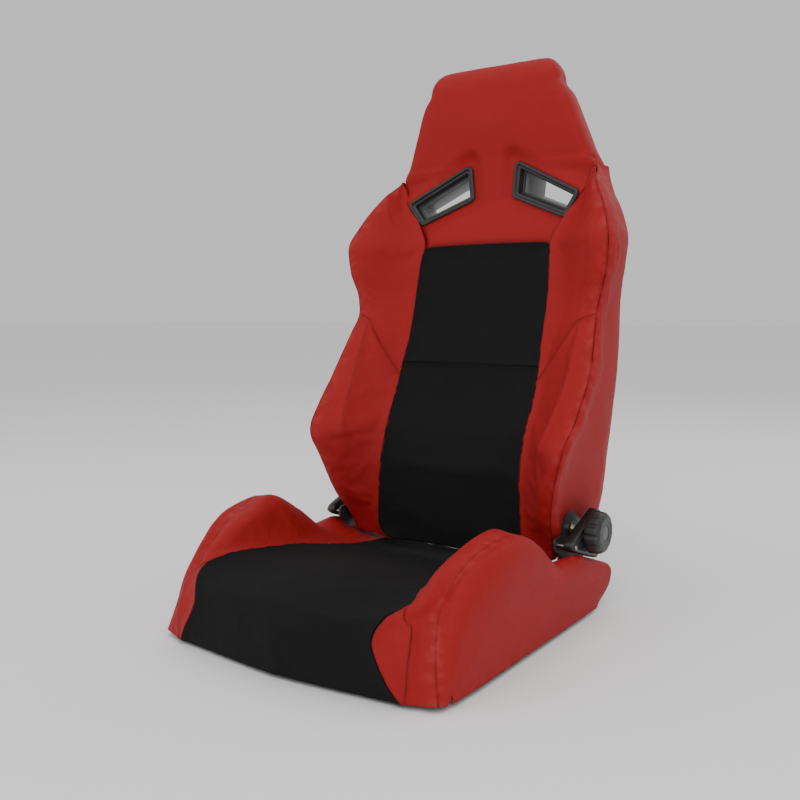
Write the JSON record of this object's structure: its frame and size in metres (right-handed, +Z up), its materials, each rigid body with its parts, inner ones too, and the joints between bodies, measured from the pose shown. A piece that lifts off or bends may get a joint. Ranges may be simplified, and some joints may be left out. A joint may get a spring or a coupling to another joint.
{
  "type": "racing seat",
  "caption": "Reclining racing seat with deep bolsters, a fixed headrest with two harness slots, a black centre insert and a side knob for the backrest.",
  "frame": {"origin": "centre of the four mounting holes, on the bottom face of the mounting rails", "axes": "+X towards the side with the recliner knob, which is the occupant's left; -Y forwards; +Z up"},
  "size_m": [0.5557, 0.7186, 0.9695],
  "materials": {
    "red_leatherette": "satin",
    "black_cloth": "matte",
    "foam": "matte",
    "spring_wire": "satin",
    "grey_plastic": "matte",
    "black_plastic": "satin",
    "cap_plastic": "satin",
    "machined_steel": "satin",
    "plated_steel": "satin",
    "black_paint": "satin"
  },
  "bodies": {
    "seat_base": {"mounting_rail_left": "black_paint", "mounting_rail_right": "black_paint", "weld_nuts": "plated_steel", "side_member_left": "black_paint", "side_member_right": "black_paint", "front_cross_tube": "black_paint", "rear_cross_tube": "black_paint", "cushion_springs_set": "spring_wire", "cushion_foam": "foam", "cushion_centre": "black_cloth", "cushion_front_left": "red_leatherette", "cushion_front_right": "red_leatherette", "cushion_bolster_left": "red_leatherette", "cushion_bolster_right": "red_leatherette", "cushion_side_left": "red_leatherette", "cushion_side_right": "red_leatherette", "recliner_lower_plate_left": "black_paint", "recliner_lower_plate_right": "black_paint", "recliner_fixed_gear_left": "machined_steel", "recliner_fixed_gear_right": "machined_steel", "recliner_lower_bolts": "plated_steel", "recliner_cover_left": "black_plastic", "recliner_cover_right": "black_plastic", "cover_screws": "plated_steel"},
    "backrest": {"recliner_ring_gear_left": "machined_steel", "recliner_ring_gear_right": "machined_steel", "recliner_upper_plate_left": "black_paint", "recliner_upper_plate_right": "black_paint", "recliner_rivets": "plated_steel", "upright_tube_left": "black_paint", "upright_tube_right": "black_paint", "lower_crossbar": "black_paint", "shoulder_crossbar": "black_paint", "head_crossbar": "black_paint", "back_springs_set": "spring_wire", "back_foam": "foam", "head_foam": "foam", "insert_lower": "black_cloth", "insert_upper": "black_cloth", "head_panel": "red_leatherette", "head_gusset": "red_leatherette", "shoulder_left": "red_leatherette", "shoulder_right": "red_leatherette", "back_bolster_left": "red_leatherette", "back_bolster_right": "red_leatherette", "back_side_left": "red_leatherette", "back_side_right": "red_leatherette", "rear_panel": "red_leatherette", "map_pocket": "red_leatherette", "pocket_hem": "red_leatherette", "slot_bezel_left": "black_plastic", "slot_bezel_right": "black_plastic", "slot_rear_bezel_left": "grey_plastic", "slot_rear_bezel_right": "grey_plastic"},
    "recliner_drive": {"cross_shaft": "machined_steel", "drive_cam_left": "machined_steel", "drive_cam_right": "machined_steel", "recliner_knob": "black_plastic", "knob_cap": "cap_plastic", "shaft_circlips": "plated_steel"}
  },
  "joints": [
    {"name": "backrest_recline", "type": "hinge", "parent": "seat_base", "child": "backrest", "pos_m": [0, 0.182, 0.145], "axis": [-1, 0, 0], "range_deg": [-15, 55]},
    {"name": "knob_turn", "type": "hinge", "parent": "seat_base", "child": "recliner_drive", "pos_m": [0, 0.182, 0.145], "axis": [-1, 0, 0], "range_deg": [-510, 1870]}
  ],
  "couplings": [
    {"joint": "knob_turn", "follows": "backrest_recline", "ratio": 34}
  ]
}
